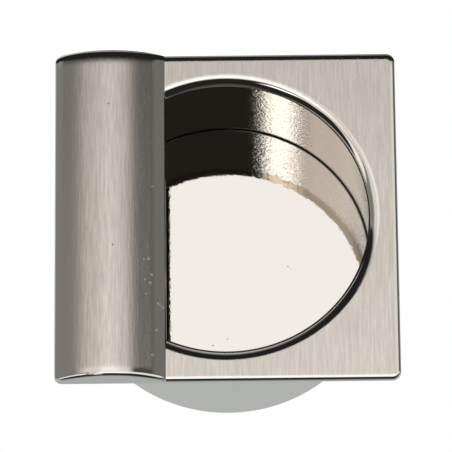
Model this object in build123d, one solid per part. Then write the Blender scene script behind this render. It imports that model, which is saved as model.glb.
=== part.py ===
from build123d import *
import math
import os

# Flush pull for a furniture door: a face plate with a half-round grip bar over its left side, and a round cup
# whose rim lies in a shallow recess in the back of the plate. The finger goes through the D-shaped mouth and
# hooks behind the bar.
# Frame: +Z up along the bar, the front towards -Y, the surface of the door in the plane Y = 0, and the origin
# on the axis of the cup.

# Driving dimensions, in millimetres and degrees
cup_diameter = 34.8          # outside, for a 35 mm drilled hole
cup_depth = 15.6             # behind the surface of the door
cup_wall = 1.2               # at the mouth
cup_base = 2.6
cup_draft = 0.3              # taper of the inner wall
cup_back_radius = 0.2        # outer edge of the base
side_cover = 1.6             # how far the plate reaches past the cup, left and right
end_cover = 2.0              # and at the top and the bottom
plate_thickness = 0.8
plate_corner_radius = 1.0    # outline
plate_edge_radius = 0.5      # front edges
mouth_overhang = 0.35        # how far the plate hides the edge of the cup
mouth_edge_width = 1.2       # rounded edge of the mouth, measured on the face
mouth_edge_depth = 0.55      # and measured from the face
seat_depth = 0.15            # recess for the rim of the cup
seat_clearance = 0.05        # radial, round the rim in its recess
bar_width = 12.3
bar_rise = 2.1               # crown above the face of the plate
bar_wall = 1.4               # metal over the finger hollow
lip_front_radius = 0.5       # edge of the bar along the mouth
lip_back_radius = 0.2

# Sizes that follow
cup_radius = cup_diameter / 2
bore_radius = cup_radius - cup_wall
mouth_radius = bore_radius - mouth_overhang
seat_radius = cup_radius + seat_clearance
plate_width = cup_diameter + 2 * side_cover
plate_height = cup_diameter + 2 * end_cover
left = -plate_width / 2
lip = left + bar_width
face = -plate_thickness
seat = -seat_depth
crown = face - bar_rise
bar_middle = left + bar_width / 2
bar_radius = (bar_width ** 2 / 4 + bar_rise ** 2) / (2 * bar_rise)
bar_axis = crown + bar_radius
past = plate_thickness + bar_rise    # how far a cutter reaches beyond what it cuts


def rounded_slab():
    """The plate as a slab, with round corners and rounded front edges."""
    outline = Plane.XZ * Rectangle(plate_width, plate_height)
    outline = fillet(outline.vertices(), plate_corner_radius)
    slab = extrude(outline, plate_thickness)
    front = slab.faces().sort_by(Axis.Y)[0]
    return fillet(front.edges(), plate_edge_radius)


def mouth_cutter():
    """The round mouth: straight at the back, opening to the face over an edge of elliptic section."""
    flare = mouth_radius + mouth_edge_width
    edge_start = face + mouth_edge_depth
    straight = [(mouth_radius, edge_start), (mouth_radius, past), (0, past)]
    front = [(0, face - past), (flare, face - past), (flare, face)]
    profile = Polyline(*straight, *front)
    profile += EllipticalCenterArc((flare, edge_start), mouth_edge_width, mouth_edge_depth, 180, arc_size=90)
    return revolve(make_face(profile), Axis.Y)


def grip_bar():
    """The half-round bar over the whole height of the plate, with a rounded lip along the mouth."""
    profile = Polyline((left, face), (left, 0), (lip, 0), (lip, face))
    profile += ThreePointArc((lip, face), (bar_middle, crown), (left, face))
    section = make_face(profile)
    section = fillet(section.vertices().sort_by_distance((lip, face))[0], lip_front_radius)
    bar = extrude(section, plate_height / 2, both=True)
    corners = bar.edges().filter_by(Axis.Y).group_by(Axis.X)[0]
    bar = fillet(corners, plate_corner_radius)
    outside = bar.faces().filter_by(GeomType.CYLINDER).sort_by(SortBy.AREA)[-1]
    rim = outside.edges().filter_by(lambda edge: edge.center().X < lip - lip_front_radius)
    return fillet(rim, plate_edge_radius)


def finger_hollow():
    """The hollow behind the bar, inside the mouth, with an even wall to the crown, and the lip's back."""
    trough = Pos(bar_middle, bar_axis) * Cylinder(bar_radius - bar_wall, plate_height)
    corner = Pos(lip, seat) * Box(2 * lip_back_radius, 2 * lip_back_radius, plate_height)
    corner -= Pos(lip - lip_back_radius, seat - lip_back_radius) * Cylinder(lip_back_radius, plate_height)
    well = Rot(90, 0, 0) * Cylinder(mouth_radius, 2 * past)
    return (trough + corner) & well


def face_plate():
    """Plate and bar are one casting."""
    seat_cutter = Pos(0, seat + past / 2, 0) * Rot(90, 0, 0) * Cylinder(seat_radius, past)
    return rounded_slab() - mouth_cutter() + grip_bar() - seat_cutter - finger_hollow()


def cup():
    """A round cup with a tapered bore, whose rim lies in the recess in the back of the plate."""
    floor = cup_depth - cup_base
    floor_radius = bore_radius - (floor - seat) * math.tan(math.radians(cup_draft))
    inside = [(0, floor), (floor_radius, floor), (bore_radius, seat)]
    outside = [(cup_radius, seat), (cup_radius, cup_depth), (0, cup_depth)]
    section = make_face(Polyline(*inside, *outside, close=True))
    section = fillet(section.vertices().sort_by_distance((cup_radius, cup_depth))[0], cup_back_radius)
    return revolve(section, Axis.Y)


os.makedirs("parts", exist_ok=True)
for name, make in {"face_plate": face_plate, "cup": cup}.items():
    export_step(make(), f"parts/{name}.step")
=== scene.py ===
"""Flush pull: a square face plate with a half-round grip bar, and the bright round cup behind it.

Lengths are in metres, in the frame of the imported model: +Z up along the bar, the front towards -Y, the
surface of the door at Y = 0, and the origin on the axis of the cup.
"""
import math

import bmesh
import bpy
import numpy as np
from bpy.props import FloatProperty, FloatVectorProperty, PointerProperty
from mathutils import Matrix, Vector


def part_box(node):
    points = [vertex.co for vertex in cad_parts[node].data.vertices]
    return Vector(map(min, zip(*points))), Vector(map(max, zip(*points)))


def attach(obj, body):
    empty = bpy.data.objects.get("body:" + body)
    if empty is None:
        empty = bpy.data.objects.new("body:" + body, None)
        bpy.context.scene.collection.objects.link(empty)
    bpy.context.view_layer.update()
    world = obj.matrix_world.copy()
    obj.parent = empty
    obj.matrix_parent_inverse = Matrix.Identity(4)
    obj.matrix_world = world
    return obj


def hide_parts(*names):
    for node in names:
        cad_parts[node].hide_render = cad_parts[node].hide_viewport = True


bl_info = {
    "name": "Flush pull",
    "version": (1, 0, 0),
    "blender": (4, 5, 0),
    "location": "View3D > Sidebar > Flush pull",
    "description": "Builds the face plate, the cup and the studio of a square flush pull",
    "category": "Add Mesh",
}

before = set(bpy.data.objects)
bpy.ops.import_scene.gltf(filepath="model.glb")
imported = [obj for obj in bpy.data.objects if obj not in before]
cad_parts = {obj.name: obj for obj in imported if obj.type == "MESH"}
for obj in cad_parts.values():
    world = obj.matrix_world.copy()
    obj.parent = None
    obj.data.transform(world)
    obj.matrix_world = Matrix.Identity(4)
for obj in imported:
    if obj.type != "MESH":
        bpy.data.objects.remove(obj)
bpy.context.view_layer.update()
PLATE_LOW, PLATE_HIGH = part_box("face_plate")
CUP_LOW, CUP_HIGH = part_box("cup")
FACE_Y = -0.0008                # face of the plate

MERGE = 2e-7                    # points of neighbouring patches closer than this are one point
SHARP = math.radians(32)        # faces that meet at more than this keep a sharp edge

# Every patch gives its share of these: brushing, the near-black raw colour, which is raw casting and also
# painted shade in the hollow, the recess and the cup's inner corner, and grain, which is the cast grain of the
# cup and the stronger, finer brushing of the bar
FINISHES = ("brushed", "raw_and_shade", "grainy")


def length(name, description, default):
    """A size in metres."""
    return FloatProperty(name=name, description=description, default=default, unit="LENGTH",
                         subtype="DISTANCE", precision=5)


def slope(name, description, degrees):
    """An angle."""
    return FloatProperty(name=name, description=description, default=math.radians(degrees), subtype="ANGLE")


def tint(name, description, default):
    """A colour."""
    return FloatVectorProperty(name=name, description=description, default=default, subtype="COLOR", size=3,
                               min=0, max=1)


class PullSizes(bpy.types.PropertyGroup):
    """Sizes of the plate, the bar and the cup"""
    plate_width: length("Plate width", "Width of the plate", PLATE_HIGH[0] - PLATE_LOW[0])
    plate_height: length("Plate height", "Height of the plate", PLATE_HIGH[2] - PLATE_LOW[2])
    plate_thickness: length("Plate thickness", "From the door to the face of the plate", -FACE_Y)
    corner_radius: length("Corner radius", "Round corners of the plate's outline", 0.001)
    bar_corner: length("Bar corner", "Round corners of the bar's outline", 0.0008)
    edge_roll: length("Edge roll", "Radius with which the face is rolled towards its outer edges", 0.00186)
    edge_radius: length("Edge radius", "Radius of the outer edges themselves", 0.0003)
    roll_angle: slope("Roll angle", "How far the face leans where it meets its edges", 11)
    top_roll: FloatProperty(name="Top roll", description="How much wider the rolled edge is along the top",
                            default=1.35)
    back_edge: length("Back edge", "Bevel round the back of the plate", 0.0002)
    mouth_radius: length("Mouth radius", "Narrowest place of the round mouth", 0.01578)
    mouth_roll: length("Mouth roll", "Radius with which the face is rolled towards the mouth", 0.0025)
    mouth_curve: length("Mouth curve", "Radius of the mouth's round edge", 0.00115)
    mouth_lean: slope("Mouth lean", "How far the face leans where it meets the mouth's edge", 14)
    mouth_angle: slope("Mouth angle", "How far that edge leans where it ends", 60)
    mouth_edge: length("Mouth edge", "Radius of the last sharp edge of the mouth", 0.00005)
    mouth_draft: slope("Mouth draft", "How much the mouth opens behind its narrowest place", 9)
    seat_depth: length("Seat depth", "Recess for the cup's rim in the back of the plate", -CUP_LOW[1])
    seat_radius: length("Seat radius", "Radius of that recess", 0.01745)
    bar_width: length("Bar width", "Grip bar from the left side to the lip", 0.0123)
    bar_rise: length("Bar rise", "Crown of the bar above the face", FACE_Y - PLATE_LOW[1])
    bar_wall: length("Bar wall", "Metal over the finger hollow", 0.0014)
    bar_side: length("Bar side", "Rounding between the left side and the front of the bar", 0.0006)
    lip_front: length("Lip front", "Rounding of the lip, front", 0.0005)
    lip_back: length("Lip back", "Rounding of the lip, back", 0.0002)
    rolloff: length("Roll-off", "How far polishing has lowered the bar's crown at its upper end", 0.00016)
    rolloff_reach: length("Roll-off reach", "How far that reaches down from the end", 0.0015)
    cup_radius: length("Cup radius", "Outside of the cup", CUP_HIGH[0])
    cup_depth: length("Cup depth", "Back of the cup behind the door's surface", CUP_HIGH[1])
    cup_base: length("Cup base", "Thickness of the bottom", 0.0026)
    bore_radius: length("Bore radius", "Inside of the cup at its mouth", 0.0162)
    floor_radius: length("Floor radius", "Inside of the cup at its bottom", 0.01613)
    cup_corner: length("Cup corner", "Rounding between wall and bottom", 0.00006)
    cup_back: length("Cup back", "Rounding of the outer back edge", 0.0002)


class PullFinish(bpy.types.PropertyGroup):
    """Colours of the two nickel finishes"""
    brushed: tint("Brushed nickel", "Colour of the brushed front", (0.80, 0.735, 0.67))
    edge: tint("Smooth edges", "Colour of the plate's rounded edges and sides", (0.82, 0.785, 0.74))
    bright: tint("Bright nickel", "Colour of the plated cup", (0.80, 0.765, 0.72))
    # The raw colour is near black: besides raw casting, pits and marks, it paints the shade in the finger
    # hollow, in the recess behind the plate and in the cup's inner corner
    raw_and_shade: tint("Raw casting", "Colour of the unpolished hollow, of pits and marks", (0.03, 0.028, 0.025))
    dust: tint("Dust", "Colour of the specks of dust on the bar", (1.0, 0.98, 0.95))


# Surfaces: points along the runs of the patches
BAR_SIDE_POINTS, BAR_ARC_POINTS, BAR_LIP_POINTS = 9, 57, 6      # section: left rounding, main arc, lip
BAR_POINTS = 97                                                 # height of the bar and the hollow, in the mouth
LEVEL_POINTS, CORNER_POINTS, UPRIGHT_POINTS = 45, 9, 61         # plate's outline
EDGE_POINTS, RIM_POINTS, EXACT_POINTS = 8, 12, 400              # arc of the outer edge, and of the mouth's
SEAT_POINTS, WALL_POINTS = 7, 5                                 # behind the lip, and down the hollow's walls
ROUND_POINTS, TURN_POINTS = 8, 257                              # small roundings, and round the cup
FLOOR_POINTS, BACK_POINTS = 13, 9                               # middle to edge of the cup's floor and back

BACKWARDS = np.array([0.0, 0.06, 0.5, 1.0])     # shares of the way down the plate's sides
ROLLOFF_POWER = 1.3                             # the crown's lowering is this power of the nearness to its end
FLAT_STRIP = 0.0002                             # narrow strip of a flat next to its rounding

# Strips along the bar's edges that stay unbrushed, and how far the brushing takes to fade in beyond them
LEFT_SMOOTH, LIP_SMOOTH, SIDE_FADE = 0.0006, 0.0012, 0.0004
END_SMOOTH, END_FADE = 0.0006, 0.0006
# Leans at which the rolled edges are no longer brushed, and how far the brushing takes to fade out before them
MOUTH_SMOOTH, EDGE_SMOOTH, LEAN_FADE = math.radians(6), math.radians(5), math.radians(4)
# Shares of the raw colour that darken the plate's sides and back, and of cast grain on the cup
SIDE_RAW, BACK_RAW = 0.15, 0.5
FLOOR_GRAIN, WALL_GRAIN, OUTSIDE_GRAIN = 0.075, 1.0, 0.1


def circle(radius, angle):
    """Points at a radius times the cosine and the sine of an angle."""
    return radius * np.stack([np.cos(angle), np.sin(angle)], -1)


def arc(centre, radius, start, end, count):
    """Points of a circle, and the directions from its centre to them, between two angles from +X to +Y."""
    out = circle(1.0, np.linspace(start, end, count))
    return np.asarray(centre) + radius * out, out


def spaced(*runs):
    """Numbers from (start, end, count) runs joined end to end, each end shared with the next start."""
    parts = [np.linspace(start, end, count) for start, end, count in runs]
    return np.concatenate([parts[0]] + [part[1:] for part in parts[1:]])


ACROSS = spaced((0, 0.06, 3), (0.06, 0.94, 9), (0.94, 1, 3))    # shares of the way over a flat face


def fade(value, none, width):
    """Share that is 0 up to one value and grows evenly to 1 over a width."""
    return np.clip((value - none) / width, 0, 1)


def rolled_edge(arcs, count):
    """Section of a rolled edge: arcs of (radius, last angle), each going on where the one before it ended.

    Gives the way across, which is a radius times the gain in the angle's sine, the way down, which is the
    radius times the loss in its cosine, and the angle.
    """
    across, down, lean = [np.zeros(1)], [np.zeros(1)], [np.zeros(1)]
    for radius, last in arcs:
        first = lean[-1][-1]
        angle = np.linspace(first, last, count)[1:]
        across.append(across[-1][-1] + radius * (np.sin(angle) - math.sin(first)))
        down.append(down[-1][-1] + radius * (math.cos(first) - np.cos(angle)))
        lean.append(angle)
    return np.concatenate(across), np.concatenate(down), np.concatenate(lean)


def grid_faces(rows, columns):
    """Quads between the neighbouring points of a grid that is stored row by row."""
    first = (np.arange(rows - 1)[:, None] * columns + np.arange(columns - 1)[None, :]).ravel()
    return np.stack([first, first + 1, first + columns + 1, first + columns], -1)


def sheet_of(x, y, z):
    """One patch: three arrays that broadcast to a grid, stacked to points."""
    return np.stack(np.broadcast_arrays(x, y, z), -1)


def sheet_at(points, y):
    """One patch from points in X and Z and their Y."""
    return sheet_of(points[..., 0], y, points[..., 1])


def build_piece(name, patches, material, node):
    """Joins patches to one closed shaded mesh. Each is a grid of points and its share of every finish."""
    points, shares, faces, offset = [], [], [], 0
    for grid, *finishes in patches:
        rows, columns = grid.shape[:2]
        points.append(grid.reshape(-1, 3))
        shares.append([np.broadcast_to(finish, (rows, columns)).reshape(-1) for finish in finishes])
        faces.append(grid_faces(rows, columns) + offset)
        offset += rows * columns
    points = np.concatenate(points)
    faces = np.concatenate(faces)
    mesh = bpy.data.meshes.new(name)
    mesh.from_pydata(points, [], faces)
    for finish, values in zip(FINISHES, np.concatenate(shares, axis=1)):
        layer = mesh.attributes.new(finish, "FLOAT", "CORNER")
        layer.data.foreach_set("value", values[faces].ravel().astype(np.float32))
    shape = bmesh.new()
    shape.from_mesh(mesh)
    bmesh.ops.remove_doubles(shape, verts=shape.verts, dist=MERGE)
    bmesh.ops.dissolve_degenerate(shape, edges=shape.edges, dist=MERGE)
    bmesh.ops.recalc_face_normals(shape, faces=shape.faces)
    open_edges = sum(1 for edge in shape.edges if len(edge.link_faces) != 2)
    if open_edges:
        raise RuntimeError(f"{name} has {open_edges} open edges")
    shape.to_mesh(mesh)
    shape.free()
    mesh.shade_smooth()
    mesh.set_sharp_from_angle(angle=SHARP)
    mesh.materials.append(material)
    piece = bpy.data.objects.new(name, mesh)
    bpy.context.scene.collection.objects.link(piece)
    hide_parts(node)
    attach(piece, "root")


def bar_section(size):
    """The bar's section in X and Y.

    The front is a run of points: the rounding at the left side, the main arc, which meets the plate's face at
    both sides of the bar, then the lip's rounding down to the face. Also the outward directions of that run,
    the lip's X as a function of Y, the hollow's Y as a function of X, the X where the hollow starts and the
    bar's middle.
    """
    left, lip = -size.plate_width / 2, -size.plate_width / 2 + size.bar_width
    face, seat = -size.plate_thickness, -size.seat_depth
    half_bar, rise = size.bar_width / 2, size.bar_rise
    radius = (half_bar ** 2 + rise ** 2) / (2 * rise)
    axis, middle = face - rise + radius, left + half_bar
    hollow = radius - size.bar_wall

    def rounding(edge_x, small):
        """Centre of a small circle that touches the main arc from inside, and the angle where it does."""
        centre_y = axis - math.sqrt((radius - small) ** 2 - (edge_x - middle) ** 2)
        return (edge_x, centre_y), math.atan2(centre_y - axis, edge_x - middle)

    def side_of(small, way):
        """Half the width of a rounding at some way from its centre."""
        return np.sqrt(np.clip(small ** 2 - np.clip(way, 0, None) ** 2, 0, None))

    def lip_x(y):
        ahead = side_of(size.lip_front, lip_centre[1] - y)
        behind = side_of(size.lip_back, y - seat + size.lip_back)
        return lip - size.lip_front - size.lip_back + ahead + behind

    def roof_y(x):
        return np.minimum(axis - np.sqrt(np.clip(hollow ** 2 - (x - middle) ** 2, 0, None)), seat)

    side_centre, side_angle = rounding(left + size.bar_side, size.bar_side)
    lip_centre, lip_angle = rounding(lip - size.lip_front, size.lip_front)
    crease_angle = math.asin((face - lip_centre[1]) / size.lip_front)
    runs = [arc(side_centre, size.bar_side, -math.pi, side_angle, BAR_SIDE_POINTS),
            arc((middle, axis), radius, side_angle, lip_angle, BAR_ARC_POINTS),
            arc(lip_centre, size.lip_front, lip_angle, crease_angle, BAR_LIP_POINTS)]
    front, outward = (np.concatenate([runs[0][item], runs[1][item][1:], runs[2][item][1:]]) for item in (0, 1))
    roof_start = middle + math.sqrt(hollow ** 2 - (axis - seat) ** 2)
    return front, outward, lip_x, roof_y, roof_start, middle


def mouth_section(size, lip_x):
    """The mouth at several depths: its radius, its lean, the lip's X, and the half height of the lip.

    The radius falls along the rolled edge to the narrowest place and grows behind it by the tangent of the
    draft. The lip ends where its X meets the circle, at the root of radius squared less X squared. The depths
    are close together over the rolled edge and over the lip's rounding at the back.
    """
    face, seat = -size.plate_thickness, -size.seat_depth
    arcs = [(size.mouth_roll, size.mouth_lean), (size.mouth_curve, size.mouth_angle),
            (size.mouth_edge, math.pi / 2)]
    rim_down = rolled_edge(arcs, RIM_POINTS)[1]
    exact_in, exact_down, exact_lean = rolled_edge(arcs, EXACT_POINTS)
    lip_back = seat - size.lip_back * (1 - np.sin(np.linspace(0, math.pi / 2, ROUND_POINTS)))
    depth = np.unique(np.round(np.concatenate([face + rim_down, lip_back]), 8))
    narrowest = face + exact_down[-1]
    radius = size.mouth_radius + exact_in[-1] - np.interp(depth - face, exact_down, exact_in)
    radius = radius + np.clip(depth - narrowest, 0, None) * math.tan(size.mouth_draft)
    lean = np.interp(depth - face, exact_down, exact_lean)
    lip = lip_x(depth)
    return depth, radius, lean, lip, np.sqrt(radius ** 2 - lip ** 2)


def outer_edge(size):
    """Section of the plate's outer edges: the wide roll of the face, then the edge itself."""
    return rolled_edge([(size.edge_roll, size.roll_angle), (size.edge_radius, math.pi / 2)], EDGE_POINTS)


def outline(size, crease):
    """Right part of the plate's outline in X and Z, with its outward directions.

    It runs from the crease along the bottom, round a quarter circle and up the right side. The top is the
    bottom mirrored.
    """
    half_width, half_height, corner = size.plate_width / 2, size.plate_height / 2, size.corner_radius
    run = np.linspace(crease, half_width - corner, LEVEL_POINTS)
    low = np.stack([run, np.full_like(run, -half_height)], -1)
    low_out = np.broadcast_to([0.0, -1.0], low.shape)
    bend, bend_out = arc((half_width - corner, corner - half_height), corner, -math.pi / 2, 0, CORNER_POINTS)
    rise = np.linspace(corner - half_height, half_height - corner, UPRIGHT_POINTS)
    right = np.stack([np.full_like(rise, half_width), rise], -1)
    right_out = np.broadcast_to([1.0, 0.0], right.shape)

    def whole(level, corner_run, upright):
        top = np.array([1.0, -1.0])
        return np.concatenate([level, corner_run[1:], upright[1:-1], (corner_run * top)[::-1],
                               (level * top)[::-1][1:]])

    return whole(low, bend, right), whole(low_out, bend_out, right_out)


def plate_front(size, crease, depth, radius, lip, reach):
    """Angles round the mouth, and patches of the plate: wall of the mouth, flat face, rolled edge and side.

    Each patch is a function of the place along the outline and the way across. The outline's points share out
    the mouth's circle by their angles, and the flat face goes straight from one to the other. The rolled edge
    goes on to the side, and is wider where the outline faces up.
    """
    face, bevel = -size.plate_thickness, size.back_edge
    edge_in, edge_down, _ = outer_edge(size)
    edge, edge_depth = edge_in[-1], edge_down[-1]
    rim, rim_out = outline(size, crease)
    ray = np.arctan2(rim[:, 1], rim[:, 0])
    angle = np.arctan2(reach, lip)[:, None] * (ray / ray[-1])
    mouth_wall = sheet_at(circle(radius[:, None, None], angle), depth[:, None])
    wider = 1 + (size.top_roll - 1) * np.clip(rim_out[:, 1:], 0, 1)
    flat_start, flat_end = mouth_wall[0][:, [0, 2]], rim - rim_out * edge * wider
    flat = flat_start + ACROSS[:, None, None] * (flat_end - flat_start)
    rolled = rim - rim_out * wider * (edge - edge_in)[:, None, None]
    side_y = np.append(face + edge_depth + BACKWARDS * (-bevel - face - edge_depth), 0)
    side_in = np.append(np.zeros_like(BACKWARDS), bevel)
    side = rim - rim_out * side_in[:, None, None]
    return (angle, mouth_wall, sheet_at(flat, face), sheet_at(rolled, (face + edge_down)[:, None]),
            sheet_at(side, side_y[:, None]))


def grip_bar(size, front, outward, middle, reach):
    """The bar and its two end faces.

    A point of the section and a height give a point of the bar. At the ends the front sinks along the rolled
    edge, less so on the left rounding. The crown sinks further at the upper end, by a power of the nearness to
    it. At the left the ends fall back by a quarter circle, which is the round corner. An end face goes straight
    back from the end's line, and its last strip is the bevel.
    """
    half_width, half, corner = size.plate_width / 2, size.plate_height / 2, size.bar_corner
    face, bevel = -size.plate_thickness, size.back_edge
    edge_in, edge_down, _ = outer_edge(size)
    low_end, top_end = half - edge_in[-1], half - edge_in[-1] * size.top_roll
    along = np.concatenate([-(reach + ACROSS * (low_end - reach))[::-1],
                            np.linspace(-1, 1, BAR_POINTS)[1:-1] * reach,
                            reach + ACROSS * (top_end - reach)])
    z = np.concatenate([-low_end - edge_in[:0:-1], along, top_end + edge_in[1:] * size.top_roll])[:, None]
    inset = np.concatenate([edge_down[:0:-1], np.zeros_like(along), edge_down[1:]])[:, None]

    wall_y = front[0, 1] + BACKWARDS[::-1] * (-bevel - front[0, 1])
    wall = np.stack([np.full_like(wall_y, -half_width), wall_y], -1)
    section = np.concatenate([[[bevel - half_width, 0]], wall[:-1], front])
    sinks = np.clip(outward[:, 1] / outward[BAR_SIDE_POINTS - 1, 1], 0, 1)
    sinks = np.concatenate([np.zeros(len(wall)), np.where(front[:, 0] > middle, 1.0, sinks)])
    corner_in = np.clip(section[:, 0] + half_width, 0, corner)
    corner_in[0] = 0                            # the bevel's line falls back as far as the side does
    drop = corner - np.sqrt(corner ** 2 - (corner - corner_in) ** 2)

    raised = np.clip((face - section[:, 1]) / size.bar_rise, 0, 1)
    near_top = np.clip((z - half) / size.rolloff_reach + 1, 0, 1)
    dip = size.rolloff * near_top ** ROLLOFF_POWER * raised
    near_corner = fade(np.abs(z), reach, top_end - reach)
    bar = sheet_of(section[:, 0], section[:, 1] + inset * sinks + dip, z - np.sign(z) * near_corner * drop)

    caps, smaller = [], 1 - bevel / corner
    for end in (bar[0], bar[-1]):
        line, line_in, line_drop = end[len(wall):], corner_in[len(wall):], drop[len(wall):]
        straight = np.ones((len(BACKWARDS), 1))
        rear_x = np.where(line_in < corner, bevel - half_width + line_in * smaller, line[:, 0])
        rear_z = half - bevel - line_drop * smaller
        cap_x = np.vstack([straight * line[:, 0], rear_x])
        cap_y = np.vstack([line[:, 1] + BACKWARDS[:, None] * (-bevel - line[:, 1]), np.zeros(len(line))])
        cap_z = np.vstack([straight * (half - line_drop), rear_z])
        caps.append(sheet_of(cap_x, cap_y, np.sign(line[:, 2]) * cap_z))
    return bar, caps


def finger_hollow(size, depth, lip, reach, mouth, roof_y, roof_start, steps):
    """Angles round the hollow, the patch of lip and roof, and the hollow's upper and lower wall.

    Lip and roof are a function of the way along their section and of the height, which ends on the mouth's
    circle. Along that circle the walls go straight from the roof to the plane of the seat.
    """
    seat = -size.seat_depth
    start_angle, roof_angle = math.atan2(reach[-1], lip[-1]), math.acos(roof_start / mouth)
    ring = spaced((start_angle, roof_angle, SEAT_POINTS), (roof_angle, math.pi, steps + 2 - SEAT_POINTS))
    ring_x = mouth * np.cos(ring)
    x = np.concatenate([lip, ring_x[1:]])
    y = np.concatenate([depth, roof_y(ring_x)[1:]])
    height = np.concatenate([reach, mouth * np.sin(ring[1:])])
    height[-1] = 0
    roof = sheet_of(x, y, np.linspace(-1, 1, BAR_POINTS)[:, None] * height)
    start = len(depth) + SEAT_POINTS - 2        # where the roof leaves the plane of the seat
    top = y[start:].copy()
    top[0] = seat
    wall_y = top + (seat - top) * np.linspace(0, 1, WALL_POINTS)[:, None]
    return ring, roof, [sheet_of(x[start:], wall_y, way * height[start:]) for way in (1, -1)]


def plate_back(size, mouth, inner, rear):
    """Seat of the cup's rim, wall of the recess and back of the plate.

    They are rings from point to point: the mouth's circle, the circle of the recess at the angles of the rear
    outline, and that outline.
    """
    if len(inner) != len(rear):
        raise RuntimeError(f"ring of {len(inner)} points against {len(rear)}")
    seat = -size.seat_depth
    rear_angle = np.unwrap(np.arctan2(rear[:, 1], rear[:, 0]))
    inner_edge, seat_edge = circle(mouth, inner), circle(size.seat_radius, rear_angle)
    return (sheet_at(np.stack([inner_edge, seat_edge]), seat),
            sheet_at(seat_edge, np.array([[seat], [0.0]])),
            sheet_at(np.stack([seat_edge, rear]), 0.0))


def face_plate_patches(size):
    """All patches of the plate and the bar, with their shares of the finishes.

    The brushing is full on the flat face and on the bar's front, and fades out by the lean of the rolled edges
    and by the distance from the bar's edges. The hollow and the recess take the near-black raw colour in full
    as painted shade, and the sides and the back take part of it.
    """
    half_width, half = size.plate_width / 2, size.plate_height / 2
    front, outward, lip_x, roof_y, roof_start, middle = bar_section(size)
    crease = front[-1, 0]
    depth, radius, lean, lip, reach = mouth_section(size, lip_x)
    angle, mouth_wall, flat, rolled, side = plate_front(size, crease, depth, radius, lip, reach)
    bar, caps = grip_bar(size, front, outward, middle, reach[0])
    steps = (len(front) - 1) + (len(bar) - 1) // 2      # along half the rear outline of the bar
    ring, roof, walls = finger_hollow(size, depth, lip, reach, radius[-1], roof_y, roof_start, steps)
    inner = np.concatenate([angle[-1], ring[1:], 2 * math.pi - ring[::-1][1:]])
    rear = np.concatenate([side[-1], caps[1][-1][::-1][1:], bar[::-1, 0][1:-1], caps[0][-1]])
    seat_ring, recess, back = plate_back(size, radius[-1], inner, rear[:, [0, 2]])

    x, z = bar[..., 0], bar[..., 2]
    brushed_bar = fade(x + half_width, LEFT_SMOOTH, SIDE_FADE) * fade(crease - x, LIP_SMOOTH, SIDE_FADE)
    brushed_bar = brushed_bar * fade(half - np.abs(z), END_SMOOTH, END_FADE)
    brushed_mouth = fade(-lean, -MOUTH_SMOOTH, LEAN_FADE)[:, None]
    brushed_edge = fade(-outer_edge(size)[2], -EDGE_SMOOTH, LEAN_FADE)[:, None]
    # The hollow's roof and walls and the recess take the near-black raw colour in full: painted shade under the
    # bar and between the parts, over raw casting
    roof_raw_and_shade = np.where(np.arange(roof.shape[1]) >= len(depth) - 2, 1.0, 0.0)
    patches = [(mouth_wall, brushed_mouth, 0.0, 0.0), (flat, 1.0, 0.0, 0.0), (rolled, brushed_edge, 0.0, 0.0),
               (side, 0.0, SIDE_RAW, 0.0), (bar, brushed_bar, 0.0, 1.0)]
    patches += [(cap, 0.0, SIDE_RAW, 0.0) for cap in caps]
    patches += [(roof, 0.0, roof_raw_and_shade, 0.0)] + [(wall, 0.0, 1.0, 0.0) for wall in walls]
    patches += [(seat_ring, 0.0, 0.0, 0.0), (recess, 0.0, 1.0, 0.0), (back, 0.0, BACK_RAW, 0.0)]
    return patches


def cup_patches(size):
    """The cup: a section of radius and depth, turned once round the Y axis.

    The section goes from the middle of the floor round its corner, along the tapered wall, over the flat rim,
    along the outside and round the back edge to the middle of the back.
    """
    seat, floor, back = -size.seat_depth, size.cup_depth - size.cup_base, size.cup_depth
    corner, back_round = size.cup_corner, size.cup_back
    lean = math.atan2(size.bore_radius - size.floor_radius, floor - seat)
    low = arc((size.floor_radius - corner, floor - corner), corner, math.pi / 2, -lean, ROUND_POINTS)[0]
    rear = arc((size.cup_radius - back_round, back - back_round), back_round, 0, math.pi / 2, ROUND_POINTS)[0]
    low_x, rear_x = low[0, 0], rear[-1, 0]
    bottom = spaced((0, low_x - FLAT_STRIP, FLOOR_POINTS), (low_x - FLAT_STRIP, low_x, 2))
    bottom = np.stack([bottom, np.full_like(bottom, floor)], -1)
    end = spaced((rear_x, rear_x - FLAT_STRIP, 2), (rear_x - FLAT_STRIP, 0, BACK_POINTS))
    end = np.stack([end, np.full_like(end, back)], -1)
    shares = spaced((0, 0.03, 2), (0.03, 0.97, 9), (0.97, 1, 2))[:, None]
    wall = low[-1] + shares * (np.array([size.bore_radius, seat]) - low[-1])
    rim = np.array([size.cup_radius, seat])
    outside = rim + shares * (rear[0] - rim)
    section = np.concatenate([bottom, low[1:], wall[1:], outside, rear[1:], end[1:]])
    turned = circle(section[:, :1, None], np.linspace(0, 2 * math.pi, TURN_POINTS))

    place = np.arange(len(section))[:, None]
    wall_start, wall_end = len(bottom) + len(low) - 1, len(bottom) + len(low) + len(wall) - 2
    grain = np.where(place < len(bottom), FLOOR_GRAIN, np.where(place < wall_end, WALL_GRAIN, OUTSIDE_GRAIN))
    # Painted shade: the near-black raw colour on the floor's last strip and the inner corner makes a dark line
    # there
    corner_shade = np.where((place >= len(bottom) - 1) & (place < wall_start), 1.0, 0.0)
    return [(sheet_at(turned, section[:, 1:]), 0.0, corner_shade, grain)]


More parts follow.
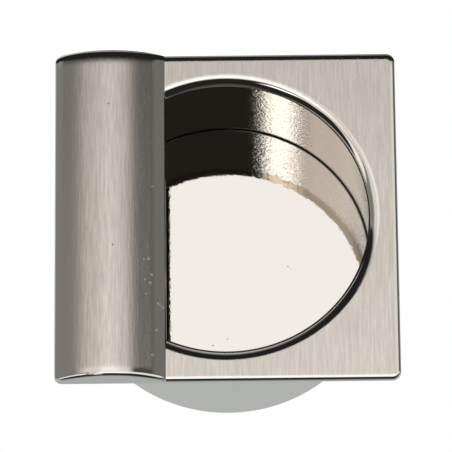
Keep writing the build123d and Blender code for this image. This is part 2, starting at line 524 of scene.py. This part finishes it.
# Looks of the metal
NOISE_LOW, NOISE_HIGH = 0.3, 0.7                        # range that holds most values of a noise
STREAK_SCALE, HAIR_SCALE = (4200, 4200, 330), (9000, 9000, 420)
TONE_LOW, TONE_HIGH = 0.98, 1.02                        # brushing in the colour
BAR_CONTRAST, BAR_STREAKS, BAR_HAIRS = 2.2, 0.7, 0.35   # bar: brushing in the colour, and broad and fine height
BRUSH_DEPTH, GRAIN_DEPTH = 0.000012, 0.000019
GRAIN_SCALE, SOFT_SHARE, PIT_SHARE = 4200.0, 0.35, 0.6  # pits per metre, noise per pit, height of a pit
SATIN_ROUGH, SMOOTH_ROUGH = (0.28, 0.22), 0.06          # brushed, from hollow to ridge of a streak, and edges
RAW_ROUGH, MIRROR_ROUGH = 0.5, 0.03
MARK_STRENGTH = 0.6

# Specks that the photograph shows, as places in millimetres and a radius
BAR_PITS = [(-12.98, -2.9, 12.74, 0.10), (-12.54, -2.9, -4.1, 0.10), (-7.6, -1.42, -10.2, 0.09)]
BAR_DUST = [(-8.58, -1.95, -5.45, 0.25), (-8.26, -1.79, -7.28, 0.21), (-8.98, -2.13, -7.95, 0.16),
            (-8.39, -1.86, -8.25, 0.22), (-8.87, -2.08, -9.65, 0.16), (-7.54, -1.38, -10.55, 0.22),
            (-7.3, -1.23, -10.72, 0.12), (-7.04, -1.06, -10.89, 0.21), (-7.73, -1.5, -13.68, 0.20),
            (-8.2, -1.76, -16.66, 0.20), (-8.14, -1.73, 3.2, 0.16), (-9.07, -2.17, -5.6, 0.14)]
FLOOR_MARKS = [(6.85, 13.0, -0.78, 0.11), (7.08, 13.0, -1.02, 0.08), (-1.68, 13.0, -10.21, 0.13),
               (-0.07, 13.0, -9.45, 0.10)]


class NodeGraph:
    """Adds and links shader nodes of one tree."""
    MIX_FIRST, MIX_SECOND, MIX_RESULT = 6, 7, 2         # colour sockets of a Mix node

    def __init__(self, tree):
        self.tree = tree
        tree.nodes.clear()

    def add(self, kind, inputs=None, **settings):
        """A new node with its settings. An input that is a socket is linked, any other is set."""
        node = self.tree.nodes.new(kind)
        for key, value in settings.items():
            setattr(node, key, value)
        for key, value in (inputs or {}).items():
            if isinstance(value, bpy.types.NodeSocket):
                self.tree.links.new(value, node.inputs[key])
            else:
                node.inputs[key].default_value = value
        return node

    def math(self, operation, first, second=0.0):
        return self.add("ShaderNodeMath", {0: first, 1: second}, operation=operation).outputs[0]

    def remap(self, value, low, high, to_low=0.0, to_high=1.0, smooth=False):
        kind = "SMOOTHSTEP" if smooth else "LINEAR"
        sockets = {"Value": value, "From Min": low, "From Max": high, "To Min": to_low, "To Max": to_high}
        return self.add("ShaderNodeMapRange", sockets, interpolation_type=kind).outputs["Result"]

    def blend(self, factor, first, second, kind="MIX"):
        sockets = {"Factor": factor, self.MIX_FIRST: first, self.MIX_SECOND: second}
        return self.add("ShaderNodeMix", sockets, data_type="RGBA", blend_type=kind).outputs[self.MIX_RESULT]

    def attribute(self, name):
        return self.add("ShaderNodeAttribute", attribute_name=name).outputs["Fac"]

    def place(self):
        return self.add("ShaderNodeTexCoord").outputs["Object"]

    def group(self, name, inputs):
        """Places a node group, which its first use builds."""
        tree = bpy.data.node_groups.get(name) or GROUPS[name](name)
        return self.add("ShaderNodeGroup", inputs, node_tree=tree).outputs

    def metal(self, colour, roughness, metallic, height, depth):
        """The material's surface: metal with a bump."""
        bump = self.add("ShaderNodeBump", {"Height": height, "Strength": 1.0, "Distance": depth})
        surface = self.add("ShaderNodeBsdfPrincipled", {"Base Color": colour, "Roughness": roughness,
                                                        "Metallic": metallic, "Normal": bump.outputs[0]})
        self.add("ShaderNodeOutputMaterial", {"Surface": surface.outputs[0]})

    def white_to_camera(self, shader, white):
        """White for the camera, and a shader for every other ray."""
        seen = self.add("ShaderNodeLightPath").outputs["Is Camera Ray"]
        sockets = {0: seen, 1: shader.outputs[0],
                   2: self.add(white, {"Color": (1, 1, 1, 1), "Strength": 1.0}).outputs[0]}
        return self.add("ShaderNodeMixShader", sockets).outputs[0]


def new_group(name, inputs, outputs):
    """An empty shader node group with named inputs and number outputs, its graph and its inputs."""
    tree = bpy.data.node_groups.new(name, "ShaderNodeTree")
    for socket, kind in inputs.items():
        tree.interface.new_socket(socket, in_out="INPUT", socket_type=kind)
    for socket in outputs:
        tree.interface.new_socket(socket, in_out="OUTPUT", socket_type="NodeSocketFloat")
    graph = NodeGraph(tree)
    return tree, graph, graph.add("NodeGroupInput").outputs


def brush_grain_group(name):
    """Streaks along Z: two noises stretched along the brushing, one broad and one fine."""
    tree, graph, given = new_group(name, {"Position": "NodeSocketVector"}, ("Streaks", "Hairs"))

    def stretched(scale, detail, roughness):
        place = graph.add("ShaderNodeMapping", {"Vector": given["Position"], "Scale": scale}).outputs[0]
        sockets = {"Vector": place, "Scale": 1.0, "Detail": detail, "Roughness": roughness}
        return graph.add("ShaderNodeTexNoise", sockets).outputs["Fac"]

    graph.add("NodeGroupOutput", {"Streaks": stretched(STREAK_SCALE, 2.0, 0.55),
                                  "Hairs": stretched(HAIR_SCALE, 3.0, 0.6)})
    return tree


def casting_grain_group(name):
    """Fine grain of a plated casting: small pits, one to a Voronoi cell, on a soft noise."""
    tree, graph, given = new_group(name, {"Position": "NodeSocketVector", "Scale": "NodeSocketFloat"},
                                   ("Height",))
    pits = graph.add("ShaderNodeTexVoronoi", {"Vector": given["Position"], "Scale": given["Scale"]})
    soft_scale = graph.math("MULTIPLY", given["Scale"], SOFT_SHARE)
    soft = graph.add("ShaderNodeTexNoise", {"Vector": given["Position"], "Scale": soft_scale, "Detail": 3.0})
    pit_height = graph.math("MULTIPLY", pits.outputs["Distance"], PIT_SHARE)
    graph.add("NodeGroupOutput", {"Height": graph.math("ADD", pit_height, soft.outputs["Fac"])})
    return tree


def spot_group(name):
    """One small round spot: full inside half its radius, gone at its radius."""
    tree, graph, given = new_group(name, {"Position": "NodeSocketVector", "Centre": "NodeSocketVector",
                                          "Radius": "NodeSocketFloat"}, ("Mask",))
    away = graph.add("ShaderNodeVectorMath", {0: given["Position"], 1: given["Centre"]}, operation="DISTANCE")
    share = graph.math("DIVIDE", away.outputs["Value"], given["Radius"])
    graph.add("NodeGroupOutput", {"Mask": graph.remap(share, 0.5, 1.0, 1.0, 0.0)})
    return tree


GROUPS = {"Brush grain": brush_grain_group, "Casting grain": casting_grain_group, "Spot": spot_group}


def spots(graph, place, marks):
    """The masks of several spots as one, the largest of them at each point."""
    whole = 0.0
    for *centre, radius in marks:
        sockets = {"Position": place, "Centre": [value / 1000 for value in centre], "Radius": radius / 1000}
        whole = graph.math("MAXIMUM", graph.group("Spot", sockets)["Mask"], whole)
    return whole


def new_material(name):
    """A material and its empty graph."""
    material = bpy.data.materials.new(name)
    material.use_nodes = True
    return material, NodeGraph(material.node_tree)


def brushed_nickel(finish):
    """Satin nickel brushed along the bar, with smooth edges, darker hidden sides, a few pits and dust, and
    painted shade in the hollow and the recess.
    """
    material, graph = new_material("brushed_nickel")
    place = graph.place()
    mask, raw_and_shade, on_bar = (graph.attribute(name) for name in FINISHES)
    grain = graph.group("Brush grain", {"Position": place})
    streaks, hairs = grain["Streaks"], grain["Hairs"]
    tone = graph.math("MULTIPLY", graph.remap(streaks, NOISE_LOW, NOISE_HIGH, TONE_LOW, TONE_HIGH),
                      graph.remap(hairs, NOISE_LOW, NOISE_HIGH, TONE_LOW, TONE_HIGH))
    contrast = graph.remap(on_bar, 0.0, 1.0, 1.0, BAR_CONTRAST)
    shade = graph.math("ADD", graph.math("MULTIPLY", graph.math("SUBTRACT", tone, 1.0), contrast), 1.0)
    satin = graph.blend(1.0, (*finish.brushed, 1), shade, "MULTIPLY")
    colour = graph.blend(mask, (*finish.edge, 1), satin)
    colour = graph.blend(raw_and_shade, colour, (*finish.raw_and_shade, 1))
    pits, dust = spots(graph, place, BAR_PITS), spots(graph, place, BAR_DUST)
    colour = graph.blend(pits, colour, (*finish.raw_and_shade, 1))
    colour = graph.blend(dust, colour, (*finish.dust, 1))
    rough = graph.math("MULTIPLY", graph.remap(streaks, NOISE_LOW, NOISE_HIGH, *SATIN_ROUGH), mask)
    rough = graph.math("MAXIMUM", rough, SMOOTH_ROUGH)
    rough = graph.math("MAXIMUM", rough, graph.math("MULTIPLY", raw_and_shade, RAW_ROUGH))
    broad = graph.math("MULTIPLY", streaks, graph.remap(on_bar, 0.0, 1.0, 1.0, BAR_STREAKS))
    fine = graph.math("MULTIPLY", hairs, graph.remap(on_bar, 0.0, 1.0, 0.0, BAR_HAIRS))
    height = graph.math("MULTIPLY", graph.math("ADD", broad, fine), mask)
    graph.metal(colour, rough, graph.math("SUBTRACT", 1.0, dust), height, BRUSH_DEPTH)
    return material


def bright_nickel(finish):
    """Bright nickel over a casting: a mirror with cast grain on the wall, and a dark line of painted shade in
    the inner corner.
    """
    material, graph = new_material("bright_nickel")
    place = graph.place()
    raw_and_shade, amount = graph.attribute("raw_and_shade"), graph.attribute("grainy")
    grain = graph.group("Casting grain", {"Position": place, "Scale": GRAIN_SCALE})
    colour = graph.blend(raw_and_shade, (*finish.bright, 1), (*finish.raw_and_shade, 1))
    marks = graph.math("MULTIPLY", spots(graph, place, FLOOR_MARKS), MARK_STRENGTH)
    colour = graph.blend(marks, colour, (*finish.raw_and_shade, 1))
    rough = graph.remap(raw_and_shade, 0.0, 1.0, MIRROR_ROUGH, RAW_ROUGH)
    graph.metal(colour, rough, 1.0, graph.math("MULTIPLY", grain["Height"], amount), GRAIN_DEPTH)
    return material


# Studio seen by the metal, in degrees: each panel fades in and out between two azimuths on its left, two on
# its right, two elevations below and two above. Azimuth is 0 towards the front and grows to the right; a later
# panel covers an earlier one.
STUDIO_BASE = (0.52, 0.56, 0.56)
ALL_ROUND, AHEAD = (-400, -390, 390, 400), (-100, -80, 80, 100)
STUDIO_PANELS = [
    (ALL_ROUND, (-120, -110, -62, -34), (0.28, 0.29, 0.28)),
    (ALL_ROUND, (23, 28, 200, 210), (0.016, 0.016, 0.016)),
    (AHEAD, (50, 90, 200, 210), (0.60, 0.60, 0.59)),
    ((-150, -120, -84, -72), (38, 48, 90, 200), (0.80, 0.80, 0.78)),
    (AHEAD, (-120, -110, -62, -54), (0.08, 0.08, 0.075)),
    ((-85, -65, 65, 85), (-66, -58, -7, -3), (0.02, 0.019, 0.017)),
    ((-120, -100, 10, 20), (-7, -3, 23, 28), (0.23, 0.23, 0.22)),
    ((0, 10, 90, 120), (-7, -3, 23, 28), (0.07, 0.072, 0.07)),
    ((50, 60, 90, 120), (14, 18, 23, 28), (0.18, 0.18, 0.175)),
    ((-80, -66, -34, -27), (-6, -3, 6, 9), (1.0, 1.0, 0.98)),
    ((10, 18, 60, 75), (1, 4, 12, 15), (1.0, 1.0, 0.98)),
    ((-50, -28, 20, 31), (10, 16, 23, 28), (0.80, 0.78, 0.75)),
    ((-29, -26, -17, -14), (-14, -10, 13, 18), (0.74, 0.68, 0.62)),
    ((-21, -12, 12, 26), (-4, 1, 9, 15), (1.25, 1.25, 1.24)),
    ((-18, -8, 2, 18), (13, 18, 22.4, 26), (1.10, 1.10, 1.09)),
    ((-23, -20, -13.4, -9.5), (-24, -21, -12.5, -9), (1.9, 1.87, 1.8)),
]
FLOOR_REACH, FLOOR_Z, FLOOR_COLOUR = 2.0, -0.36, (0.9, 0.9, 0.9, 1)

IMAGE_SIDE, SENSOR = 452, 36.0                          # the photograph's pixels, and the camera's millimetres
FOCAL = 5200.0                                          # in pixels of that image
DISTANCE = 0.57567                                      # from the middle of the plate's face
PITCH, YAW = math.radians(21.673), math.radians(-0.307)
AIM_PITCH, AIM_YAW = math.radians(-0.1139), math.radians(-0.0041)
ROLL = math.radians(-0.510)
NEAR, FAR = 0.01, 20


def studio_world():
    """A world of soft panels for the metal, and plain white for the camera."""
    world = bpy.data.worlds.new("studio")
    bpy.context.scene.world = world
    world.use_nodes = True
    graph = NodeGraph(world.node_tree)
    way = graph.add("ShaderNodeTexCoord").outputs["Generated"]
    part = graph.add("ShaderNodeSeparateXYZ", {0: way}).outputs
    front = graph.math("MULTIPLY", part["Y"], -1.0)
    azimuth = graph.math("DEGREES", graph.math("ARCTAN2", part["X"], front))
    elevation = graph.math("DEGREES", graph.math("ARCSINE", part["Z"]))

    def band(value, limits):
        rise = graph.remap(value, limits[0], limits[1], smooth=True)
        fall = graph.remap(value, limits[2], limits[3], 1.0, 0.0, smooth=True)
        return graph.math("MULTIPLY", rise, fall)

    colour = (*STUDIO_BASE, 1)
    for across, upwards, tone in STUDIO_PANELS:
        mask = graph.math("MULTIPLY", band(azimuth, across), band(elevation, upwards))
        colour = graph.blend(mask, colour, (*tone, 1))
    studio = graph.add("ShaderNodeBackground", {"Color": colour, "Strength": 1.0})
    surface = graph.white_to_camera(studio, "ShaderNodeBackground")
    graph.add("ShaderNodeOutputWorld", {"Surface": surface})


def studio_floor():
    """A plain pale floor well below the pull, white to the camera and not seen by the metal."""
    mesh = bpy.data.meshes.new("floor")
    corners = [(-1, -1), (1, -1), (1, 1), (-1, 1)]
    mesh.from_pydata([(x * FLOOR_REACH, y * FLOOR_REACH, FLOOR_Z) for x, y in corners], [], [(0, 1, 2, 3)])
    material, graph = new_material("pale_floor")
    matt = graph.add("ShaderNodeBsdfDiffuse", {"Color": FLOOR_COLOUR})
    surface = graph.white_to_camera(matt, "ShaderNodeEmission")
    graph.add("ShaderNodeOutputMaterial", {"Surface": surface})
    mesh.materials.append(material)
    floor = bpy.data.objects.new("floor", mesh)
    floor.visible_glossy = False
    bpy.context.scene.collection.objects.link(floor)


def look(pitch, yaw):
    """Direction at a pitch above the horizon and a yaw from +Y towards +X."""
    return Vector((math.sin(yaw) * math.cos(pitch), math.cos(yaw) * math.cos(pitch), math.sin(pitch)))


def studio_camera():
    """The photograph's camera: below the axis of the cup, looking up at the face."""
    camera = bpy.data.cameras.new("camera")
    camera.sensor_width = SENSOR
    camera.lens = FOCAL / IMAGE_SIDE * SENSOR
    camera.clip_start, camera.clip_end = NEAR, FAR
    holder = bpy.data.objects.new("camera", camera)
    ahead = look(PITCH + AIM_PITCH, YAW + AIM_YAW)
    right = ahead.cross(Vector((0, 0, 1))).normalized()
    up = right.cross(ahead)
    turned_right = right * math.cos(ROLL) + up * math.sin(ROLL)
    turned_up = up * math.cos(ROLL) - right * math.sin(ROLL)
    place = Vector((0, FACE_Y, 0)) - DISTANCE * look(PITCH, YAW)
    axes = Matrix((turned_right, turned_up, -ahead)).transposed().to_4x4()
    holder.matrix_world = Matrix.Translation(place) @ axes
    bpy.context.scene.collection.objects.link(holder)
    bpy.context.scene.camera = holder


class FLUSHPULL_OT_face_plate(bpy.types.Operator):
    """Build the face plate with its grip bar"""
    bl_idname = "flush_pull.face_plate"
    bl_label = "Face plate"

    def execute(self, context):
        patches = face_plate_patches(context.scene.pull_sizes)
        material = brushed_nickel(context.scene.pull_finish)
        build_piece("face_plate_brushed", patches, material, "face_plate")
        return {"FINISHED"}


class FLUSHPULL_OT_cup(bpy.types.Operator):
    """Build the round cup"""
    bl_idname = "flush_pull.cup"
    bl_label = "Cup"

    def execute(self, context):
        patches = cup_patches(context.scene.pull_sizes)
        material = bright_nickel(context.scene.pull_finish)
        build_piece("cup_bright", patches, material, "cup")
        return {"FINISHED"}


class FLUSHPULL_OT_studio(bpy.types.Operator):
    """Build the studio, the floor and the camera"""
    bl_idname = "flush_pull.studio"
    bl_label = "Studio"

    def execute(self, context):
        context.scene.view_settings.view_transform = "Standard"
        studio_world()
        studio_floor()
        studio_camera()
        return {"FINISHED"}


class FLUSHPULL_PT_panel(bpy.types.Panel):
    """Sizes, colours and pieces of the pull"""
    bl_idname = "FLUSHPULL_PT_panel"
    bl_label = "Flush pull"
    bl_space_type = "VIEW_3D"
    bl_region_type = "UI"
    bl_category = "Flush pull"

    def draw(self, context):
        for group in (context.scene.pull_sizes, context.scene.pull_finish):
            for name in group.__annotations__:
                self.layout.prop(group, name)
        for operator in OPERATORS:
            self.layout.operator(operator.bl_idname)


OPERATORS = (FLUSHPULL_OT_face_plate, FLUSHPULL_OT_cup, FLUSHPULL_OT_studio)
CLASSES = (PullSizes, PullFinish, *OPERATORS, FLUSHPULL_PT_panel)


def register():
    for cls in CLASSES:
        bpy.utils.register_class(cls)
    bpy.types.Scene.pull_sizes = PointerProperty(type=PullSizes)
    bpy.types.Scene.pull_finish = PointerProperty(type=PullFinish)


def unregister():
    del bpy.types.Scene.pull_finish
    del bpy.types.Scene.pull_sizes
    for cls in reversed(CLASSES):
        bpy.utils.unregister_class(cls)


def main():
    register()
    bpy.ops.flush_pull.studio()
    bpy.ops.flush_pull.cup()
    bpy.ops.flush_pull.face_plate()


if __name__ == "__main__":
    main()
